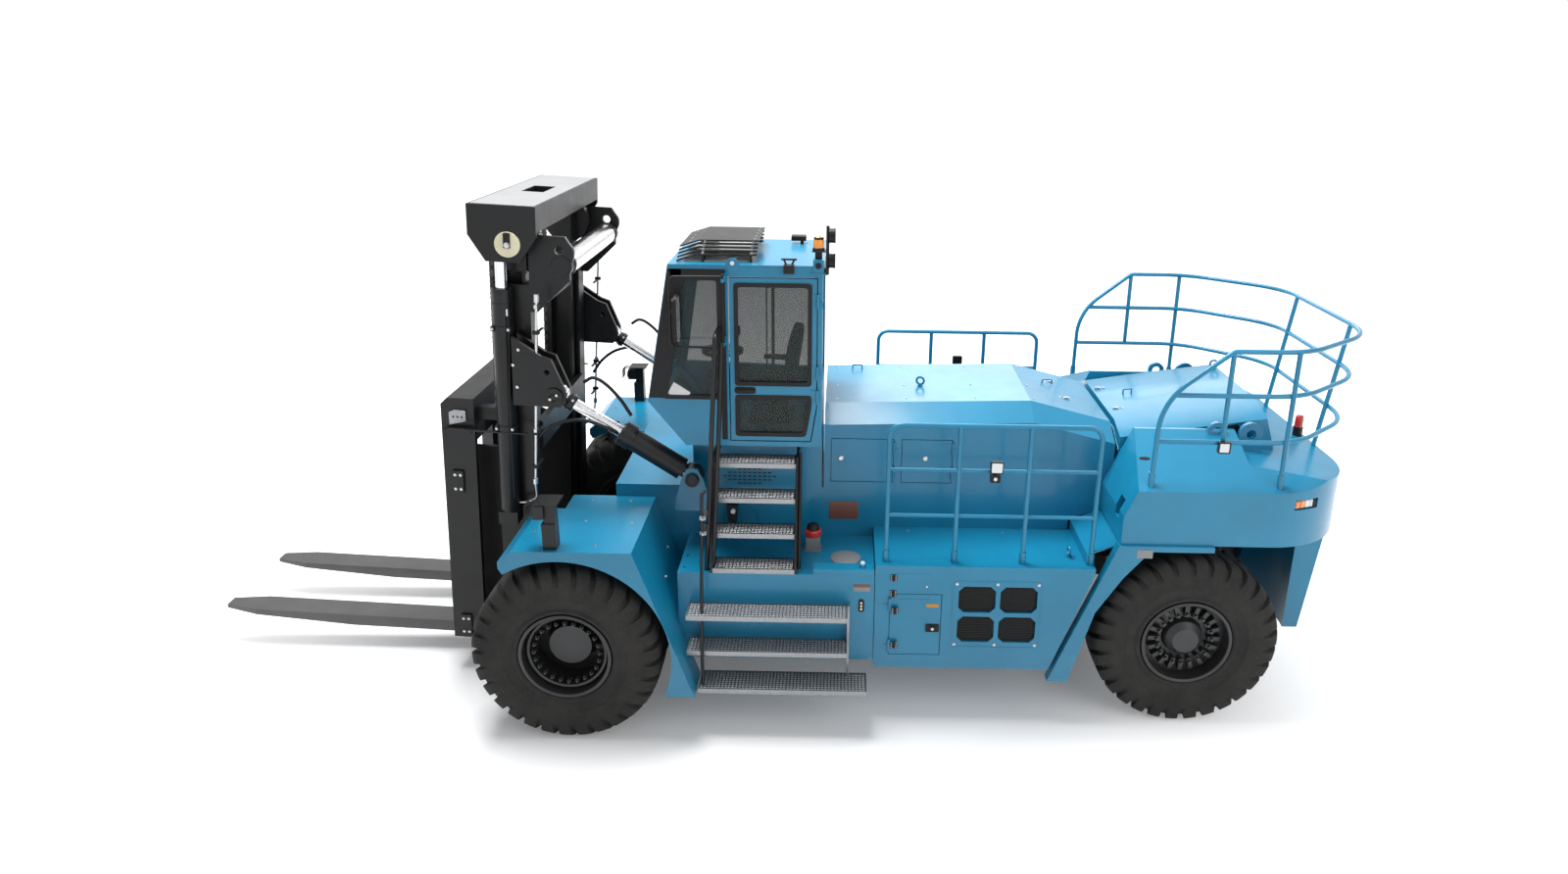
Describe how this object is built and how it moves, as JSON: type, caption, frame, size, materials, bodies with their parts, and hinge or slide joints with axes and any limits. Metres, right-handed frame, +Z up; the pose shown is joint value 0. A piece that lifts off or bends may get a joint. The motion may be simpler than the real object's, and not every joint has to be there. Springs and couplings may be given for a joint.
{
  "type": "electric counterbalance forklift truck",
  "caption": "Heavy electric forklift with a two-stage mast that tilts and lifts, sliding forks, steered rear wheels, a side cab with a door, boarding steps, guard rails and side hatches.",
  "frame": {"origin": "on the floor under the middle of the truck's overall length and width, forks included", "axes": "+X forwards to the forks, +Y to the driver's left, +Z up"},
  "size_m": [10.801, 4, 4.5705],
  "materials": {
    "blue_paint": "gloss",
    "black_paint": "satin",
    "galvanised": "satin",
    "tyre_rubber": "matte",
    "chrome": "polished",
    "window_glass": "clear",
    "cab_trim": "matte"
  },
  "bodies": {
    "truck": {"chassis": "black_paint", "lamps": "black_paint", "body": "blue_paint", "battery": "black_paint", "drive_axle": "black_paint", "steer_axle": "black_paint", "fender_front_left": "blue_paint", "fender_front_right": "blue_paint", "fender_rear_left": "blue_paint", "fender_rear_right": "blue_paint", "side_box_left": "blue_paint", "side_box_right": "blue_paint", "step_box_left": "blue_paint", "step_box_right": "blue_paint", "lower_steps": "galvanised", "ladder": "black_paint", "hood": "blue_paint", "rear_cover": "blue_paint", "counterweight": "blue_paint", "cab": "blue_paint", "cab_glass": "window_glass", "seat": "cab_trim", "console": "cab_trim", "roof_guard": "black_paint", "hand_rail_left": "blue_paint", "hand_rail_right": "blue_paint", "guard_rail": "blue_paint"},
    "outer_mast": {"outer_mast": "black_paint", "tilt_brackets": "black_paint", "lift_barrel_left": "black_paint", "lift_barrel_right": "black_paint"},
    "inner_mast": {"inner_mast": "black_paint", "lift_rod_left": "chrome", "lift_rod_right": "chrome", "lift_chain_left": "black_paint", "lift_chain_right": "black_paint"},
    "carriage": {"carriage": "black_paint"},
    "fork_left": {"fork_left": "black_paint"},
    "fork_right": {"fork_right": "black_paint"},
    "tilt_barrel_left": {"tilt_barrel_left": "black_paint"},
    "tilt_barrel_right": {"tilt_barrel_right": "black_paint"},
    "tilt_rod_left": {"tilt_rod_left": "chrome"},
    "tilt_rod_right": {"tilt_rod_right": "chrome"},
    "knuckle_left": {"knuckle_left": "black_paint"},
    "knuckle_right": {"knuckle_right": "black_paint"},
    "wheel_front_left": {"rim_front_left": "black_paint", "tyre_front_outer_left": "tyre_rubber", "tyre_front_inner_left": "tyre_rubber"},
    "wheel_front_right": {"rim_front_right": "black_paint", "tyre_front_outer_right": "tyre_rubber", "tyre_front_inner_right": "tyre_rubber"},
    "wheel_rear_left": {"rim_rear_left": "black_paint", "tyre_rear_left": "tyre_rubber"},
    "wheel_rear_right": {"rim_rear_right": "black_paint", "tyre_rear_right": "tyre_rubber"},
    "cab_door": {"cab_door": "blue_paint", "door_glass": "window_glass"},
    "hatch_one": {"hatch_one": "blue_paint"},
    "hatch_two": {"hatch_two": "blue_paint"},
    "box_door": {"box_door": "blue_paint"}
  },
  "joints": [
    {"name": "mast_tilt", "type": "hinge", "parent": "truck", "child": "outer_mast", "pos_m": [2.0005, 0, 0.76], "axis": [0, 1, 0], "range_deg": [-7.5, 8.5]},
    {"name": "mast_lift", "type": "slide", "parent": "outer_mast", "child": "inner_mast", "axis": [-0.0436, 0, 0.999], "range_m": [-0.04, 1.65]},
    {"name": "carriage_lift", "type": "slide", "parent": "inner_mast", "child": "carriage", "axis": [-0.0436, 0, 0.999], "range_m": [-0.04, 1.65], "deforming": ["lift_chain_left", "lift_chain_right"]},
    {"name": "fork_shift_left", "type": "slide", "parent": "carriage", "child": "fork_left", "axis": [0, 1, 0], "range_m": [-0.3, 0.26]},
    {"name": "fork_shift_right", "type": "slide", "parent": "carriage", "child": "fork_right", "axis": [0, -1, 0], "range_m": [-0.3, 0.26]},
    {"name": "tilt_swing_left", "type": "hinge", "parent": "truck", "child": "tilt_barrel_left", "pos_m": [0.5605, 1.05, 2.13], "axis": [0, 1, 0], "range_deg": [-6, 6.5]},
    {"name": "tilt_stroke_left", "type": "slide", "parent": "tilt_barrel_left", "child": "tilt_rod_left", "axis": [0.8396, 0, 0.5433], "range_m": [-0.27, 0.3]},
    {"name": "tilt_swing_right", "type": "hinge", "parent": "truck", "child": "tilt_barrel_right", "pos_m": [0.5605, -1.05, 2.13], "axis": [0, 1, 0], "range_deg": [-6, 6.5]},
    {"name": "tilt_stroke_right", "type": "slide", "parent": "tilt_barrel_right", "child": "tilt_rod_right", "axis": [0.8396, 0, 0.5433], "range_m": [-0.27, 0.3]},
    {"name": "steer_left", "type": "hinge", "parent": "truck", "child": "knuckle_left", "pos_m": [-3.8795, 0.99, 0.825], "axis": [0, 0, 1], "range_deg": [-55, 55]},
    {"name": "rear_wheel_left", "type": "hinge", "parent": "knuckle_left", "child": "wheel_rear_left", "pos_m": [-3.8795, 1.35, 0.825], "axis": [0, 1, 0], "continuous": true},
    {"name": "front_wheel_left", "type": "hinge", "parent": "truck", "child": "wheel_front_left", "pos_m": [1.5705, 1.47, 0.825], "axis": [0, 1, 0], "continuous": true},
    {"name": "steer_right", "type": "hinge", "parent": "truck", "child": "knuckle_right", "pos_m": [-3.8795, -0.99, 0.825], "axis": [0, 0, 1], "range_deg": [-55, 55]},
    {"name": "rear_wheel_right", "type": "hinge", "parent": "knuckle_right", "child": "wheel_rear_right", "pos_m": [-3.8795, -1.35, 0.825], "axis": [0, 1, 0], "continuous": true},
    {"name": "front_wheel_right", "type": "hinge", "parent": "truck", "child": "wheel_front_right", "pos_m": [1.5705, -1.47, 0.825], "axis": [0, 1, 0], "continuous": true},
    {"name": "cab_door_hinge", "type": "hinge", "parent": "truck", "child": "cab_door", "pos_m": [-0.5595, 1.243, 3.28], "axis": [0, 0, 1], "range_deg": [0, 95]},
    {"name": "hatch_one_hinge", "type": "hinge", "parent": "truck", "child": "hatch_one", "pos_m": [-1.2595, 0.863, 2.225], "axis": [0, 0, 1], "range_deg": [0, 88]},
    {"name": "hatch_two_hinge", "type": "hinge", "parent": "truck", "child": "hatch_two", "pos_m": [-1.7995, 0.863, 2.225], "axis": [0, 0, 1], "range_deg": [0, 100]},
    {"name": "box_door_hinge", "type": "hinge", "parent": "truck", "child": "box_door", "pos_m": [-1.2195, 1.633, 0.985], "axis": [0, 0, -1], "range_deg": [0, 90]}
  ],
  "couplings": [
    {"joint": "carriage_lift", "follows": "mast_lift", "ratio": 1},
    {"joint": "steer_right", "follows": "steer_left", "ratio": 1},
    {"joint": "tilt_swing_left", "follows": "mast_tilt", "ratio": 0.6721},
    {"joint": "tilt_stroke_left", "follows": "mast_tilt", "m_per_rad": 1.9325},
    {"joint": "tilt_swing_right", "follows": "mast_tilt", "ratio": 0.6721},
    {"joint": "tilt_stroke_right", "follows": "mast_tilt", "m_per_rad": 1.9325}
  ]
}
